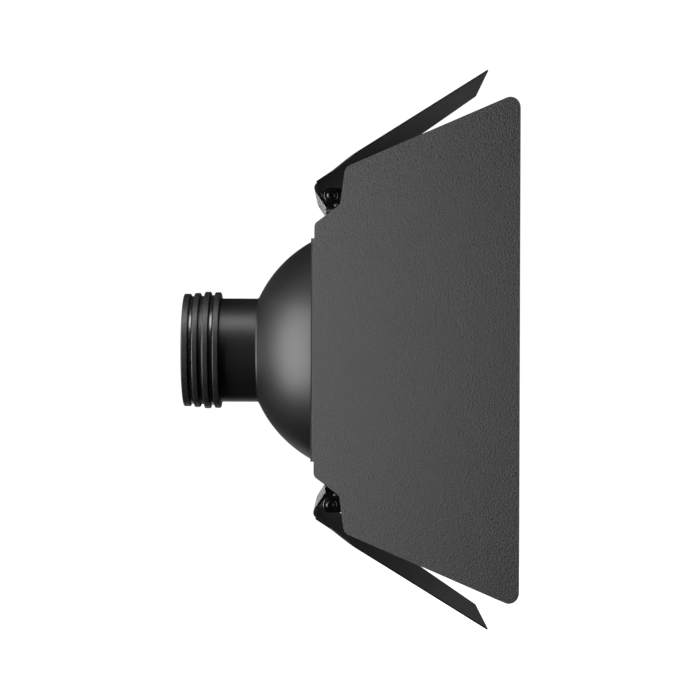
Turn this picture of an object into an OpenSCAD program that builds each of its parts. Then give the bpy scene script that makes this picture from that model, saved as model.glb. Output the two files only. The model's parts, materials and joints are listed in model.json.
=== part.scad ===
// Bowl reflector with a rotating four-leaf barn-door set.
// Row frame: origin on the optical axis at the middle of the rubber collar,
// +X forward along the optical axis, +Z up, +Y to the left. Millimetres.

/* [Collar and neck] */
// Radius of the collar bore that slips over the flash head
bore_r = 50; // [45:0.5:52]
// Outer radius of the neck tube
neck_r = 52.65; // [52:0.05:53]
// Wall of the neck tube and of the bowl
spun_t = 1.2; // [0.8:0.1:2]
// Rear end of the rubber collar along the axis
collar_x0 = -18; // [-19:0.1:-17.5]
// Front end of the rubber collar along the axis
collar_x1 = 19.4; // [18.5:0.1:20]
// Rounding of the rib edges
rib_round = 1.1; // [0.4:0.1:1.5]

/* [Bowl] */
// Outer radius of the spherical bowl
bowl_R = 126.6; // [125:0.1:127]
// Position of the bowl's sphere centre along the axis
bowl_cx = 172.5; // [172:0.1:173]
// Front edge of the bowl along the axis
bowl_x1 = 130; // [128:0.1:131]
// Radius of the wired edge
bead_r = 2.2; // [1.8:0.1:2.4]

/* [Door frame] */
// Half width of the square frame
frame_half = 136.2; // [135:0.1:136.6]
// Rear edge of the frame walls along the axis
frame_x0 = 127.2; // [126:0.1:129]
// Front edge of the frame walls along the axis
frame_x1 = 147; // [140:0.5:150]
// Sheet thickness of the frame and the lugs
frame_t = 1.5; // [1:0.1:2]
// Radius of the round light aperture
aperture_r = 112; // [100:0.5:115]

/* [Leaves] */
// Position of the hinge axes along the optical axis
pivot_x = 131.6; // [129:0.1:134]
// Distance of each hinge axis from the optical axis
pivot_r = 150; // [149:0.1:153]
// Opening angle of the upper leaf from the optical axis
open_top = 33.8; // [0:0.1:90]
// Opening angle of the lower leaf
open_bottom = 33.1; // [0:0.1:90]
// Opening angle of the two side leaves
open_side = 33.5; // [0:0.1:90]
// Length of the upper and lower leaves
short_len = 205.2; // [180:0.1:206]
// Length of the two side leaves
long_len = 227.1; // [180:0.1:230]
// Half width of a side leaf at its free end
flare_half = 229; // [200:0.5:235]
// Half width of an upper or lower leaf at its free end
taper_half = 102; // [80:0.5:140]
// Sheet thickness of the leaves
leaf_t = 1.2; // [0.8:0.1:1.4]
// Half length of the stiffening flange
flange_half = 105.5; // [95:0.5:105.5]
// Reach of the upper and lower leaves' flange past the hinge axis
flange_low_short = 7.9; // [4:0.1:8]
// Reach of the side leaves' flange past the hinge axis
flange_low_long = 3.5; // [2:0.1:4]
// Outer bend radius between a leaf and its flange
bend_o = 6; // [2.5:0.1:6.5]

/* [Hinge hardware] */
// Radius of the pivot screw shank
screw_r = 2; // [1.5:0.1:2.5]
// Radius of the pivot screw head
head_r = 4.1; // [2.8:0.1:4.2]
// Radial running clearance of the leaf on the screw
pivot_clear = 0.06; // [0.02:0.01:0.1]

/* [Hidden] */
$fn = 72;
ribs = [[collar_x0, -11.2, 57.35], [-7.2, -1.4, 58.2], [3.1, 9.2, 59.4], [13.4, collar_x1, 59.0]];
band_inner = 53.2;
groove_mid = 55.2;
band_rear_r = 55;
band_front_r = 56;
band_gap = 0.9;                     // open groove beside each band
slit_w = 1.2;                       // narrow slit in front of the second rib
slit_r = 53.3;                      // radius of its floor
bore_half = 17;                     // half length of the straight part of the bore
neck_fillet = 2.5;
fillet_x = bowl_cx - sqrt(pow(bowl_R + neck_fillet, 2) - pow(neck_r + neck_fillet, 2));
tube_x0 = -6;                       // the tube starts inside the rubber
back_short = 10.4;                  // flange face behind the hinge axis, upper and lower leaves
back_long = 12.8;                   // the same for the side leaves
lift = 17.9;                        // leaf's outer face above the hinge axis
lobe_r = 7.3;
lug_lobe_r = 7.6;
washer_r = 6.7;
ear_v = flange_half - leaf_t;       // inner face of an ear
gap = 0.3;
fric_v0 = flange_half + gap;
fric_v1 = fric_v0 + 1;
lug_v0 = fric_v1;
lug_v1 = lug_v0 + frame_t;
washer_t = 0.9;
washer_v1 = lug_v1 + washer_t;
head_h = 2.2;
nut_v1 = ear_v - gap;
nut_v0 = nut_v1 - 3.6;
web_x0 = 132.8;
web_x1 = web_x0 + frame_t;
bead_cx = 130.2;
bead_cr = 119.9;
clip_w = 16;
clip_rivet_r = 130;
stop_dx = 5.4;
rivet_x0 = 137.4;                   // lug rivets along the optical axis
sides = [0, 180, 90, -90];          // upper, lower, right, left

// ---- helpers ----
// Unit vector from a to b
function dirv(a, b) = (b - a) / norm(b - a);
// Points of a polygon whose corner i is rounded with radius rr[i], n steps each
function fillet(p, rr, n = 8) = [
  for (i = [0 : len(p) - 1])
    let (c = p[i], a = p[(i + len(p) - 1) % len(p)], b = p[(i + 1) % len(p)],
         u = dirv(c, a), w = dirv(c, b), half = acos(u * w) / 2,
         r = rr[i], t = r / tan(half), m = (u + w) / norm(u + w),
         o = c + m * (r / sin(half)), s = c + u * t, e = c + w * t,
         a0 = atan2(s[1] - o[1], s[0] - o[0]),
         d0 = atan2(e[1] - o[1], e[0] - o[0]) - a0,
         d = d0 > 180 ? d0 - 360 : (d0 < -180 ? d0 + 360 : d0))
      each (r <= 0 ? [c] : [for (k = [0 : n]) o + r * [cos(a0 + d * k / n), sin(a0 + d * k / n)]])];

// Turns an axial shape (built along Z) so that its axis is +X
module along_x() { rotate([0, 90, 0]) children(); }
// Ring of rectangular section between two radii and two axial positions
module ring(r0, r1, x0, x1) {
  along_x() rotate_extrude($fn = 144) translate([r0, x0]) square([r1 - r0, x1 - x0]);
}
// Puts a part that is drawn for the upper side on side q
module on_side(q) { rotate([q, 0, 0]) children(); }
// Both hinge ends of one side: +Y end and its mirror image
module both_ends() { children(); mirror([0, 1, 0]) children(); }
// Flat plate drawn in the X-Z plane, standing between two Y positions
module plate_xz(v0, v1) { translate([0, v1, 0]) rotate([90, 0, 0]) linear_extrude(v1 - v0) children(); }
// Pin along Y at the hinge axis
module at_pivot(v0, v1, dx = 0) { translate([pivot_x + dx, v1, pivot_r]) rotate([90, 0, 0]) linear_extrude(v1 - v0) children(); }

// ---- reflector ----
module sphere_shell(ro, ri, x0, x1, hole) {
  difference() {
    intersection() {
      translate([bowl_cx, 0, 0]) rotate([0, 90, 0]) sphere(r = ro, $fn = 120);
      translate([x0, 0, 0]) along_x() cylinder(r = ro + 1, h = x1 - x0, $fn = 120);
    }
    translate([bowl_cx, 0, 0]) rotate([0, 90, 0]) sphere(r = ri, $fn = 120);
    along_x() cylinder(r = hole, h = bowl_cx, $fn = 120);
  }
}

module reflector_bowl() {
  color([0.07, 0.07, 0.075]) union() {
    sphere_shell(bowl_R, bowl_R - spun_t, 40, bowl_x1, neck_r);
    // Concave fillet where the bowl meets the neck
    along_x() rotate_extrude($fn = 144) difference() {
      polygon([[neck_r, fillet_x], [neck_r, fillet_x + 1.9], [neck_r + 1.1, fillet_x + 2.5], [neck_r + 1.5, fillet_x + 2.3], [neck_r + 2.4, fillet_x]]);
      translate([neck_r + neck_fillet, fillet_x]) circle(r = neck_fillet, $fn = 64);
    }
  }
}

module rim_bead() {
  color([0.07, 0.07, 0.075]) difference() {
    along_x() rotate_extrude($fn = 144) translate([bead_cr, bead_cx]) circle(r = bead_r, $fn = 32);
    sphere_shell(bowl_R, bowl_R - spun_t, 120, bowl_x1, neck_r);
  }
}

module neck_tube() {
  color([0.08, 0.08, 0.085]) difference() {
    ring(neck_r - spun_t, neck_r, tube_x0, 62);
    translate([bowl_cx, 0, 0]) rotate([0, 90, 0]) sphere(r = bowl_R - 2 * spun_t, $fn = 120);
  }
}

// Dished ring inside the bowl that carries the neck
module neck_flange() {
  color([0.6, 0.6, 0.62]) difference() {
    intersection() {
      translate([bowl_cx, 0, 0]) rotate([0, 90, 0]) sphere(r = bowl_R - spun_t, $fn = 120);
      along_x() cylinder(r = 60, h = 80, $fn = 120);
    }
    translate([bowl_cx, 0, 0]) rotate([0, 90, 0]) sphere(r = bowl_R - 2 * spun_t, $fn = 120);
    along_x() cylinder(r = neck_r, h = 100, $fn = 120);
  }
}

// Outline of the collar in (radius, axial position), from the rear face forwards
collar_pts = [
  [bore_r + 1, ribs[0][0]], [ribs[0][2], ribs[0][0]], [ribs[0][2], ribs[0][1]],
  [band_inner, ribs[0][1]], [band_inner, ribs[1][0]],
  [ribs[1][2], ribs[1][0]], [ribs[1][2], ribs[1][1]],
  [slit_r, ribs[1][1]], [slit_r, ribs[1][1] + slit_w],
  [groove_mid, ribs[1][1] + slit_w], [groove_mid, ribs[2][0]],
  [ribs[2][2], ribs[2][0]], [ribs[2][2], ribs[2][1]],
  [band_inner, ribs[2][1]], [band_inner, ribs[3][0]],
  [ribs[3][2], ribs[3][0]], [ribs[3][2], ribs[3][1]],
  [bore_r + 1.2, ribs[3][1]], [bore_r, bore_half], [bore_r, -bore_half]];
collar_rr = [0, rib_round, rib_round, 0, 0, rib_round, rib_round, 0, 0, 0.3, 0.4, rib_round, rib_round, 0, 0, rib_round, rib_round, 0, 0, 0];

module rubber_collar() {
  color([0.05, 0.05, 0.05]) along_x() rotate_extrude($fn = 144) difference() {
    polygon(fillet(collar_pts, collar_rr, 5));
    translate([neck_r - spun_t, tube_x0]) square([spun_t, 40]);
  }
}

module collar_band(r1, x0, x1) {
  color([0.09, 0.09, 0.09]) along_x() rotate_extrude($fn = 144)
    polygon(fillet([[band_inner, x0], [r1, x0], [r1, x1], [band_inner, x1]], [0, 0.3, 0.3, 0], 4));
}
module collar_band_rear() { collar_band(band_rear_r, ribs[0][1] + band_gap, ribs[1][0] - band_gap); }
module collar_band_front() { collar_band(band_front_r, ribs[2][1] + band_gap, ribs[3][0] - band_gap); }

// ---- frame that carries the leaves ----
module square_plate(half, r) {
  polygon(fillet([[-half, -half], [half, -half], [half, half], [-half, half]], [r, r, r, r], 8));
}

module frame_pan() {
  color([0.06, 0.06, 0.065]) difference() {
    union() {
      translate([frame_x0, 0, 0]) along_x() linear_extrude(frame_x1 - frame_x0) difference() {
        square_plate(frame_half, 6);
        square_plate(frame_half - frame_t, 6 - frame_t);
      }
      translate([web_x0, 0, 0]) along_x() linear_extrude(frame_t) square_plate(frame_half - frame_t / 2, 5.3);
    }
    translate([web_x0 - 1, 0, 0]) along_x() cylinder(r = aperture_r, h = frame_t + 2, $fn = 144);
    for (q = [45 : 90 : 315]) on_side(q) translate([web_x0 - 1, 0, clip_rivet_r]) along_x() cylinder(r = 1.5, h = 4, $fn = 24);
    for (q = sides) on_side(q) both_ends() for (v = [114, 126]) translate([rivet_x0, v, frame_half - 4]) cylinder(r = 1.6, h = 6, $fn = 24);
  }
}

module locating_ring() {
  color([0.06, 0.06, 0.065]) ring(bead_cr + bead_r + 0.6, bead_cr + bead_r + 2.1, 128.6, web_x0);
}

// One hook that keeps the frame behind the wired edge
module rim_clip() {
  difference() {
    union() {
      translate([web_x0 - 1.2, -clip_w / 2, 124.6]) cube([1.2, clip_w, 9.4]);
      translate([126, -clip_w / 2, 124.6]) cube([web_x0 - 126, clip_w, 1.2]);
      translate([126, -clip_w / 2, 118.6]) cube([1.2, clip_w, 7]);
    }
    translate([web_x0 - 3, 0, clip_rivet_r]) along_x() cylinder(r = 1.5, h = 6, $fn = 24);
  }
}
module rim_clips() {
  color([0.5, 0.5, 0.52]) for (q = [45 : 90 : 315]) on_side(q) rim_clip();
}

// Rivet along +X from x0 with a grip length, flat heads at both ends
module rivet_x(x0, grip, r, hr, hh) {
  translate([x0, 0, 0]) along_x() union() {
    cylinder(r = r, h = grip, $fn = 24);
    translate([0, 0, -hh]) cylinder(r1 = hr * 0.7, r2 = hr, h = hh, $fn = 24);
    translate([0, 0, grip]) cylinder(r1 = hr, r2 = hr * 0.7, h = hh, $fn = 24);
  }
}
module clip_rivets() {
  color([0.55, 0.55, 0.57]) for (q = [45 : 90 : 315]) on_side(q)
    translate([0, 0, clip_rivet_r]) rivet_x(web_x0 - 1.2, 1.2 + frame_t, 1.5, 2.8, 0.9);
}

// ---- hinge lugs: one bent bracket at each end of each side ----
arm_pts = [[frame_x0, frame_half], [144.2, frame_half], [144.2, pivot_r + 7.2], [pivot_x + 4.6, pivot_r + 7.2], [pivot_x + 2, pivot_r + 7.3], [pivot_x - 5, pivot_r + 3], [frame_x0 - 1.6, pivot_r - 4.5], [frame_x0, pivot_r - 6.8]];
arm_rr = [0, 0, 2.5, 1.5, 0, 0, 0, 0];
module lug() {
  difference() {
    union() {
      plate_xz(lug_v0, lug_v1) union() {
        polygon(fillet(arm_pts, arm_rr, 5));
        translate([pivot_x, pivot_r]) circle(r = lug_lobe_r, $fn = 48);
      }
      translate([frame_x0 + 0.8, lug_v0, frame_half]) cube([frame_x1 - frame_x0 - 1.6, 131 - lug_v0, frame_t]);
    }
    at_pivot(lug_v0 - 1, lug_v1 + 1) circle(r = screw_r, $fn = 32);
    at_pivot(lug_v0 - 1, lug_v1 + 1, stop_dx) circle(r = 1, $fn = 24);
    for (v = [114, 126]) translate([rivet_x0, v, frame_half - 1]) cylinder(r = 1.6, h = 4, $fn = 24);
  }
}
module hinge_lugs(q) { color([0.06, 0.06, 0.065]) on_side(q) both_ends() lug(); }
module hinge_lugs_top() { hinge_lugs(0); }
module hinge_lugs_bottom() { hinge_lugs(180); }
module hinge_lugs_right() { hinge_lugs(90); }
module hinge_lugs_left() { hinge_lugs(-90); }

module lug_rivets() {
  color([0.07, 0.07, 0.075]) for (q = sides) on_side(q) both_ends() for (v = [114, 126])
    translate([rivet_x0, v, frame_half - frame_t]) union() {
      cylinder(r = 1.6, h = 2 * frame_t, $fn = 24);
      translate([0, 0, 2 * frame_t]) cylinder(r = 2.9, h = 1.8, $fn = 48);
      translate([0, 0, 2 * frame_t + 1.8]) cylinder(r1 = 2.9, r2 = 2.3, h = 0.6, $fn = 48);
      translate([0, 0, -0.9]) cylinder(r1 = 1.9, r2 = 2.9, h = 0.9, $fn = 24);
    }
}

module pivot_screws() {
  color([0.35, 0.35, 0.36]) for (q = sides) on_side(q) both_ends() difference() {
    union() {
      at_pivot(nut_v0 - 0.8, washer_v1) circle(r = screw_r, $fn = 32);
      translate([pivot_x, washer_v1, pivot_r]) rotate([-90, 0, 0]) rotate_extrude($fn = 32)
        polygon([[0, 0], [head_r, 0], [head_r, 0.9], [head_r * 0.9, 1.5], [head_r * 0.66, 2.0], [head_r * 0.55, head_h], [0, head_h]]);
    }
    translate([pivot_x, washer_v1 + head_h - 1.3, pivot_r]) rotate([-90, 0, 0]) cylinder(r = 1.45, h = 3, $fn = 6);
  }
}

// Washer with chamfered outer edge, held from turning by the pin
module pivot_washers() {
  color([0.4, 0.4, 0.42]) for (q = sides) on_side(q) both_ends() difference() {
    translate([pivot_x, lug_v1, pivot_r]) rotate([-90, 0, 0]) rotate_extrude($fn = 64)
      polygon([[screw_r, 0], [washer_r, 0], [washer_r, 0.45], [washer_r - 0.45, washer_t], [screw_r, washer_t]]);
    at_pivot(lug_v1 - 1, washer_v1 + 1, stop_dx) circle(r = 1, $fn = 24);
  }
}
module friction_washers() {
  color([0.12, 0.12, 0.12]) for (q = sides) on_side(q) both_ends() at_pivot(fric_v0, fric_v1) difference() {
    circle(r = 6.3, $fn = 48);
    circle(r = screw_r, $fn = 32);
  }
}

module lock_nuts() {
  color([0.4, 0.4, 0.42]) for (q = sides) on_side(q) both_ends() at_pivot(nut_v0, nut_v1) difference() {
    circle(r = 4.05, $fn = 6);
    circle(r = screw_r, $fn = 32);
  }
}

module lug_pins() {
  color([0.4, 0.4, 0.42]) for (q = sides) on_side(q) both_ends() union() {
    at_pivot(lug_v0, washer_v1, stop_dx) circle(r = 1, $fn = 24);
    translate([pivot_x + stop_dx, washer_v1, pivot_r]) rotate([-90, 0, 0]) cylinder(r1 = 1.1, r2 = 0.8, h = 0.7, $fn = 24);
  }
}

// ---- leaves: drawn in their own frame, with the hinge axis as the origin ----
// Outlines as (distance from the flange face, half width), one half each
short_half = [[5.4, 126], [23.7, 126], [45.7, 154], [short_len, taper_half]];
short_rr = [1, 8, 14, 3];
long_half = [[6.6, 119.2], [35.6, 136], [41.3, 170.9], [long_len, flare_half]];
long_rr = [6, 3, 9, 10.5];
// Closes a half outline with its mirror image
function outline(h, back) = [for (p = h) [p[0] - back, p[1]], for (i = [len(h) - 1 : -1 : 0]) [h[i][0] - back, -h[i][1]]];
function twice(r) = [for (v = r) v, for (i = [len(r) - 1 : -1 : 0]) r[i]];
// Section of sheet, bend and flange in (along the leaf, height)
ear_b = 3.4;                        // outer bend radius of the ears
ear_leg = 9;                        // length of an ear's leg along the flange
function bend_section(back, low) = concat(
  [for (k = [0 : 6]) [-back + bend_o - bend_o * sin(k * 15), lift - bend_o + bend_o * cos(k * 15)]],
  [[-back, -low], [-back + leaf_t, -low]],
  [for (k = [6 : -1 : 0]) [-back + bend_o - (bend_o - leaf_t) * sin(k * 15), lift - bend_o + (bend_o - leaf_t) * cos(k * 15)]],
  [[-back + bend_o + 1.5, lift - leaf_t], [-back + bend_o + 1.5, lift]]);

// Ear bent from a leg that lies inside the flange
module ear(back, low) {
  translate([0, 0, -low]) linear_extrude(lobe_r + low) {
    intersection() {
      difference() {
        translate([-back + leaf_t + ear_b, flange_half - ear_b]) circle(r = ear_b, $fn = 48);
        translate([-back + leaf_t + ear_b, flange_half - ear_b]) circle(r = ear_b - leaf_t, $fn = 48);
      }
      translate([-back + leaf_t, flange_half - ear_b]) square([ear_b, ear_b]);
    }
    translate([-back + leaf_t - 0.2, flange_half - ear_b - ear_leg]) square([leaf_t + 0.2, ear_leg]);
  }
  plate_xz(ear_v, flange_half) union() {
    polygon([[-back + leaf_t + ear_b, -low], [-back + leaf_t + ear_b, lobe_r], [0, lobe_r], [lobe_r, 0], [0, -lobe_r]]);
    circle(r = lobe_r, $fn = 48);
  }
}

module leaf(half, rr, back, low) {
  difference() {
    union() {
      difference() {
        translate([0, 0, lift - leaf_t]) linear_extrude(leaf_t) polygon(fillet(outline(half, back), twice(rr), 8));
        translate([-back - 1, -flange_half, lift - leaf_t - 1]) cube([1 + bend_o, 2 * flange_half, leaf_t + 2]);
      }
      plate_xz(-flange_half, flange_half) polygon(bend_section(back, low));
      both_ends() ear(back, low);
    }
    both_ends() translate([0, flange_half + 1, 0]) rotate([90, 0, 0]) cylinder(r = screw_r + pivot_clear, h = 4, $fn = 32);
  }
}
// Places a leaf on side q at its opening angle
module hang(q, open) { on_side(q) translate([pivot_x, 0, pivot_r]) rotate([0, -open, 0]) children(); }

module leaf_top() { color([0.1, 0.1, 0.105]) hang(0, open_top) leaf(short_half, short_rr, back_short, flange_low_short); }
module leaf_bottom() { color([0.1, 0.1, 0.105]) hang(180, open_bottom) leaf(short_half, short_rr, back_short, flange_low_short); }
module leaf_right() { color([0.13, 0.13, 0.135]) hang(90, open_side) leaf(long_half, long_rr, back_long, flange_low_long); }
module leaf_left() { color([0.13, 0.13, 0.135]) hang(-90, open_side) leaf(long_half, long_rr, back_long, flange_low_long); }

reflector_bowl();
rim_bead();
neck_tube();
neck_flange();
rubber_collar();
collar_band_rear();
collar_band_front();
frame_pan();
locating_ring();
rim_clips();
clip_rivets();
hinge_lugs_top();
hinge_lugs_bottom();
hinge_lugs_right();
hinge_lugs_left();
lug_rivets();
pivot_screws();
pivot_washers();
friction_washers();
lock_nuts();
lug_pins();
leaf_top();
leaf_bottom();
leaf_right();
leaf_left();
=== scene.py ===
import bpy, math, json
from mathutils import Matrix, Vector

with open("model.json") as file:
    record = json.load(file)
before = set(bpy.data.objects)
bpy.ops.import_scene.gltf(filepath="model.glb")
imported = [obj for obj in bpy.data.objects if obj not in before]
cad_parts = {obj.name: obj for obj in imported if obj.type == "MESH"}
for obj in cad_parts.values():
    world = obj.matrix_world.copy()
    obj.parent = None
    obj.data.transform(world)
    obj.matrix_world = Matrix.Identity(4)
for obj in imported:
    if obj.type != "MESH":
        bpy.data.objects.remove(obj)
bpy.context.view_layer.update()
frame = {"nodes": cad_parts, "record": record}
nodes = frame["nodes"]

# ---------------------------------------------------------------- camera
scene = bpy.context.scene
cam_data = bpy.data.cameras.new("camera")
cam_data.sensor_width = 36.0
cam_data.lens = 108.0
cam_data.shift_y = 0.00786
cam_data.clip_start = 0.05
cam_data.clip_end = 60.0
cam = bpy.data.objects.new("camera", cam_data)
scene.collection.objects.link(cam)
cam.location = (0.1506, -2.142, -0.0051)
cam.rotation_euler = (math.radians(90), math.radians(-0.2), 0)
scene.camera = cam
scene.view_settings.view_transform = "Standard"

# ---------------------------------------------------------------- node helpers
def new_mat(name):
    m = bpy.data.materials.new(name)
    m.use_nodes = True
    nt = m.node_tree
    return m, nt, nt.nodes["Principled BSDF"]

def noise(nt, scale, detail=3.0, rough=0.55, coord="Object", stretch=None):
    tc = nt.nodes.new("ShaderNodeTexCoord")
    n = nt.nodes.new("ShaderNodeTexNoise")
    n.inputs["Scale"].default_value = scale
    n.inputs["Detail"].default_value = detail
    n.inputs["Roughness"].default_value = rough
    if stretch:
        mp = nt.nodes.new("ShaderNodeMapping")
        mp.inputs["Scale"].default_value = stretch
        nt.links.new(tc.outputs[coord], mp.inputs["Vector"])
        nt.links.new(mp.outputs["Vector"], n.inputs["Vector"])
    else:
        nt.links.new(tc.outputs[coord], n.inputs["Vector"])
    return n

def ramp(nt, src, lo, hi, a, b):
    """Maps src from lo..hi to the two values or colours a..b."""
    r = nt.nodes.new("ShaderNodeMapRange")
    r.inputs["From Min"].default_value = lo
    r.inputs["From Max"].default_value = hi
    r.inputs["To Min"].default_value = a
    r.inputs["To Max"].default_value = b
    nt.links.new(src, r.inputs["Value"])
    return r.outputs["Result"]

def mix_col(nt, fac, a, b):
    m = nt.nodes.new("ShaderNodeMix")
    m.data_type = "RGBA"
    m.inputs["A"].default_value = (*a, 1)
    m.inputs["B"].default_value = (*b, 1)
    nt.links.new(fac, m.inputs["Factor"])
    return m.outputs["Result"]

def bump(nt, bsdf, heights, dist=0.001, strength=0.5):
    """Chains one bump for each (height socket, strength, distance)."""
    prev = None
    for h, s, d in heights:
        b = nt.nodes.new("ShaderNodeBump")
        b.inputs["Strength"].default_value = s
        b.inputs["Distance"].default_value = d
        nt.links.new(h, b.inputs["Height"])
        if prev is not None:
            nt.links.new(prev, b.inputs["Normal"])
        prev = b.outputs["Normal"]
    nt.links.new(prev, bsdf.inputs["Normal"])
    return prev

def powder_coat(name, lo, hi, rough, grain=1400.0, amp=0.35, spec=0.5):
    """Textured matt powder coat: fine orange peel, speckle and slow drift in tone."""
    m, nt, b = new_mat(name)
    fine = noise(nt, grain, 1.0, 0.5)
    peel = noise(nt, grain * 0.6, 2.0, 0.5)
    slow = noise(nt, 9.0, 3.0, 0.6)
    mixv = nt.nodes.new("ShaderNodeMath"); mixv.operation = "MULTIPLY_ADD"
    nt.links.new(fine.outputs["Fac"], mixv.inputs[0]); mixv.inputs[1].default_value = 0.85
    sl = ramp(nt, slow.outputs["Fac"], 0.3, 0.7, 0.04, 0.11)
    nt.links.new(sl, mixv.inputs[2])
    nt.links.new(mix_col(nt, ramp(nt, mixv.outputs["Value"], 0.32, 0.68, 0.0, 1.0), lo, hi), b.inputs["Base Color"])
    nt.links.new(ramp(nt, fine.outputs["Fac"], 0.3, 0.7, rough - 0.06, rough + 0.06), b.inputs["Roughness"])
    b.inputs["Specular IOR Level"].default_value = spec
    bump(nt, b, [(peel.outputs["Fac"], amp, 0.00034), (fine.outputs["Fac"], amp, 0.00028)])
    return m

def satin_paint(name, lo, hi, rough, spec=0.5, lines=0.0):
    """Sprayed satin black over spun metal: faint peel, faint turning lines, slow cloudiness."""
    m, nt, b = new_mat(name)
    peel = noise(nt, 900.0, 2.0, 0.5)
    slow = noise(nt, 14.0, 4.0, 0.6)
    turn = noise(nt, 60.0, 3.0, 0.6, stretch=(12.0, 0.15, 0.15))
    nt.links.new(mix_col(nt, ramp(nt, slow.outputs["Fac"], 0.35, 0.65, 0.0, 1.0), lo, hi), b.inputs["Base Color"])
    nt.links.new(ramp(nt, slow.outputs["Fac"], 0.3, 0.7, rough - 0.02, rough + 0.03), b.inputs["Roughness"])
    b.inputs["Specular IOR Level"].default_value = spec
    hs = [(peel.outputs["Fac"], 0.5, 0.0001)]
    if lines > 0:
        hs.append((turn.outputs["Fac"], lines, 0.0002))
    bump(nt, b, hs)
    return m

def bowl_paint(name, lo, hi, rough):
    """Satin black outside, bright satin silver on the concave side of the bowl."""
    m = satin_paint(name, lo, hi, rough, lines=0.05)
    nt = m.node_tree
    b = nt.nodes["Principled BSDF"]
    tc = nt.nodes.new("ShaderNodeTexCoord")
    d = nt.nodes.new("ShaderNodeVectorMath"); d.operation = "DISTANCE"
    nt.links.new(tc.outputs["Object"], d.inputs[0])
    d.inputs[1].default_value = (BOWL_CX, 0.0, 0.0)
    lt = nt.nodes.new("ShaderNodeMath"); lt.operation = "LESS_THAN"
    nt.links.new(d.outputs["Value"], lt.inputs[0]); lt.inputs[1].default_value = BOWL_MID
    grain = noise(nt, 500.0, 3.0, 0.6)
    old = b.inputs["Base Color"].links[0].from_socket
    mc = nt.nodes.new("ShaderNodeMix"); mc.data_type = "RGBA"
    nt.links.new(lt.outputs["Value"], mc.inputs["Factor"])
    nt.links.new(old, mc.inputs["A"])
    nt.links.new(mix_col(nt, ramp(nt, grain.outputs["Fac"], 0.3, 0.7, 0.0, 1.0), (0.62, 0.62, 0.63), (0.74, 0.74, 0.75)), mc.inputs["B"])
    nt.links.new(mc.outputs["Result"], b.inputs["Base Color"])
    nt.links.new(lt.outputs["Value"], b.inputs["Metallic"])
    return m

def rubber(name):
    m, nt, b = new_mat(name)
    fine = noise(nt, 2200.0, 2.0, 0.5)
    mid = noise(nt, 160.0, 3.0, 0.6)
    nt.links.new(mix_col(nt, ramp(nt, mid.outputs["Fac"], 0.35, 0.65, 0.0, 1.0), (0.009, 0.009, 0.0095), (0.014, 0.014, 0.0145)), b.inputs["Base Color"])
    nt.links.new(ramp(nt, mid.outputs["Fac"], 0.3, 0.7, 0.44, 0.54), b.inputs["Roughness"])
    b.inputs["Specular IOR Level"].default_value = 0.6
    bump(nt, b, [(mid.outputs["Fac"], 0.15, 0.0004), (fine.outputs["Fac"], 0.3, 0.00008)])
    return m

def gloss_band(name):
    m, nt, b = new_mat(name)
    mid = noise(nt, 220.0, 3.0, 0.5, stretch=(8.0, 0.4, 0.4))
    nt.links.new(mix_col(nt, ramp(nt, mid.outputs["Fac"], 0.3, 0.7, 0.0, 1.0), (0.010, 0.010, 0.011), (0.018, 0.018, 0.019)), b.inputs["Base Color"])
    nt.links.new(ramp(nt, mid.outputs["Fac"], 0.3, 0.7, 0.22, 0.32), b.inputs["Roughness"])
    b.inputs["Specular IOR Level"].default_value = 1.0
    bump(nt, b, [(mid.outputs["Fac"], 0.12, 0.0003)])
    return m

def steel(name, lo, hi, rough, stretch=None):
    m, nt, b = new_mat(name)
    f = noise(nt, 700.0, 3.0, 0.6, stretch=stretch)
    s = noise(nt, 60.0, 3.0, 0.6)
    nt.links.new(mix_col(nt, ramp(nt, s.outputs["Fac"], 0.3, 0.7, 0.0, 1.0), lo, hi), b.inputs["Base Color"])
    nt.links.new(ramp(nt, f.outputs["Fac"], 0.3, 0.7, rough - 0.07, rough + 0.07), b.inputs["Roughness"])
    b.inputs["Metallic"].default_value = 1.0
    bump(nt, b, [(f.outputs["Fac"], 0.2, 0.0001)])
    return m

def fibre(name):
    m, nt, b = new_mat(name)
    f = noise(nt, 1500.0, 4.0, 0.7)
    nt.links.new(mix_col(nt, ramp(nt, f.outputs["Fac"], 0.35, 0.65, 0.0, 1.0), (0.016, 0.014, 0.013), (0.034, 0.030, 0.027)), b.inputs["Base Color"])
    nt.links.new(ramp(nt, f.outputs["Fac"], 0.3, 0.7, 0.7, 0.9), b.inputs["Roughness"])
    bump(nt, b, [(f.outputs["Fac"], 0.5, 0.0002)])
    return m

BOWL_CX = 0.1725                    # centre of the spherical bowl on the optical axis
BOWL_MID = 0.1260                   # middle of its wall

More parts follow.
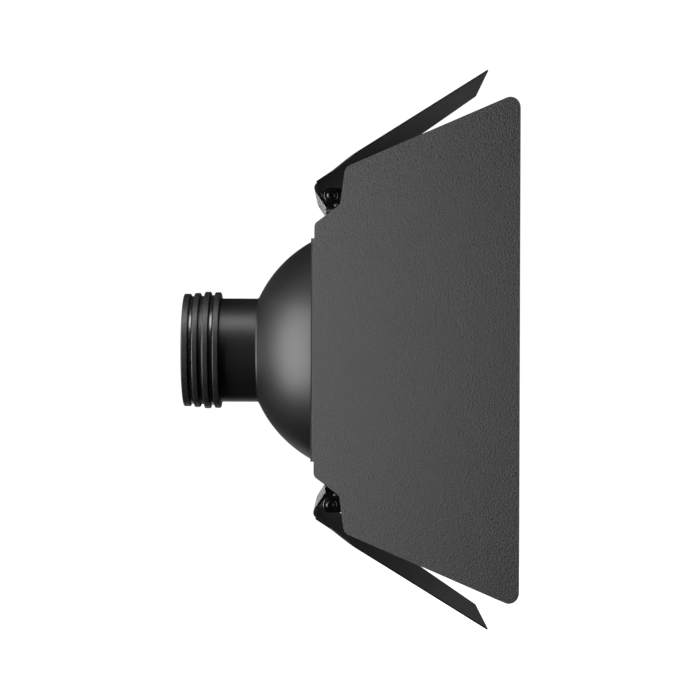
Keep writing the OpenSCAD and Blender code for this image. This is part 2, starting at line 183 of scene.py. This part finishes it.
MATS = {
    "bowl_coat": bowl_paint("bowl_coat", (0.0035, 0.0035, 0.0039), (0.0050, 0.0050, 0.0055), 0.44),
    "neck_coat": satin_paint("neck_coat", (0.0035, 0.0035, 0.0039), (0.0050, 0.0050, 0.0055), 0.42, lines=0.05),
    "collar_rubber": rubber("collar_rubber"),
    "band_gloss": gloss_band("band_gloss"),
    "frame_coat": powder_coat("frame_coat", (0.0012, 0.0012, 0.0013), (0.0035, 0.0035, 0.0036), 0.34, spec=0.3),
    "leaf_coat": powder_coat("leaf_coat", (0.002, 0.002, 0.0021), (0.009, 0.009, 0.0093), 0.46, grain=850.0, amp=0.9, spec=0.20),
    "spring_steel": steel("spring_steel", (0.16, 0.16, 0.165), (0.24, 0.24, 0.245), 0.46, (6, 0.3, 0.3)),
    "inner_silver": steel("inner_silver", (0.62, 0.62, 0.63), (0.74, 0.74, 0.75), 0.42),
    "rivet_steel": steel("rivet_steel", (0.45, 0.45, 0.46), (0.6, 0.6, 0.61), 0.35),
    "zinc_rivet": steel("zinc_rivet", (0.06, 0.06, 0.061), (0.09, 0.09, 0.091), 0.50),
    "screw_steel": steel("screw_steel", (0.045, 0.045, 0.047), (0.075, 0.075, 0.078), 0.30),
    "fibre": fibre("fibre"),
}
slot_of = {s["node"]: s["material_slot"] for s in frame["record"]["subparts"]}
for name, ob in nodes.items():
    m = MATS[slot_of[name]]
    if not ob.material_slots:
        ob.data.materials.append(m)
    for s in ob.material_slots:
        s.link = "OBJECT"
        s.material = m

# ---------------------------------------------------------------- stage
def plain(name, col, rough, emit=0.0):
    m, nt, b = new_mat(name)
    b.inputs["Base Color"].default_value = (*col, 1)
    b.inputs["Roughness"].default_value = rough
    b.inputs["Specular IOR Level"].default_value = 0.0
    if emit:
        b.inputs["Emission Color"].default_value = (1, 1, 1, 1)
        b.inputs["Emission Strength"].default_value = emit
    return m

bpy.ops.mesh.primitive_plane_add(size=24, location=(0.15, 4.0, -0.46))
floor = bpy.context.object
floor.name = "floor"
floor.data.materials.append(plain("floor_white", (0.8, 0.8, 0.8), 0.9, 1.0))
floor.visible_diffuse = False
floor.visible_shadow = False
floor.visible_glossy = False

world = bpy.data.worlds.new("world")
scene.world = world
world.use_nodes = True
wn = world.node_tree
bg = wn.nodes["Background"]
out = wn.nodes["World Output"]
bg.inputs["Color"].default_value = (1, 1, 1, 1)
bg.inputs["Strength"].default_value = 0.025
bg2 = wn.nodes.new("ShaderNodeBackground")
bg2.inputs["Color"].default_value = (1, 1, 1, 1)
bg2.inputs["Strength"].default_value = 1.05
lp = wn.nodes.new("ShaderNodeLightPath")
mx = wn.nodes.new("ShaderNodeMixShader")
wn.links.new(lp.outputs["Is Camera Ray"], mx.inputs["Fac"])
wn.links.new(bg.outputs["Background"], mx.inputs[1])
wn.links.new(bg2.outputs["Background"], mx.inputs[2])
wn.links.new(mx.outputs["Shader"], out.inputs["Surface"])

def area(name, loc, target, sx, sy, power):
    l = bpy.data.lights.new(name, "AREA")
    l.shape = "RECTANGLE"
    l.size = sx
    l.size_y = sy
    l.energy = power
    o = bpy.data.objects.new(name, l)
    scene.collection.objects.link(o)
    o.location = loc
    d = Vector(target) - Vector(loc)
    o.rotation_euler = d.to_track_quat("-Z", "Y").to_euler()
    o.visible_camera = False
    return o

def panel(name, loc, target, sx, sy, radiance):
    """Soft box of a given size and brightness."""
    return area(name, loc, target, sx, sy, radiance * math.pi * sx * sy)

C = (0.12, -0.05, 0.0)
panel("key_top", (-0.35, -1.0, 2.0), C, 1.2, 1.1, 8.0)
panel("side_left", (-0.80, -0.39, 0.015), (0.12, -0.13, 0.0), 0.75, 1.15, 9.0)
panel("rim_strip", (-0.45, 2.4, 0.0), C, 1.1, 0.25, 4.5)
panel("backdrop", (0.3, 2.4, 0.0), C, 2.6, 1.6, 0.18)
panel("low_strip", (0.1, 2.2, -1.1), C, 1.8, 0.7, 0.8)
panel("front_fill", (2.3, 0.3, 0.1), C, 1.4, 1.4, 3.5)
panel("rear_fill", (-2.2, 0.9, 0.5), C, 1.2, 1.2, 0.4)
panel("front_right", (1.7, -0.5, 0.0), (0.25, 0.0, 0.0), 1.0, 1.6, 1.0)
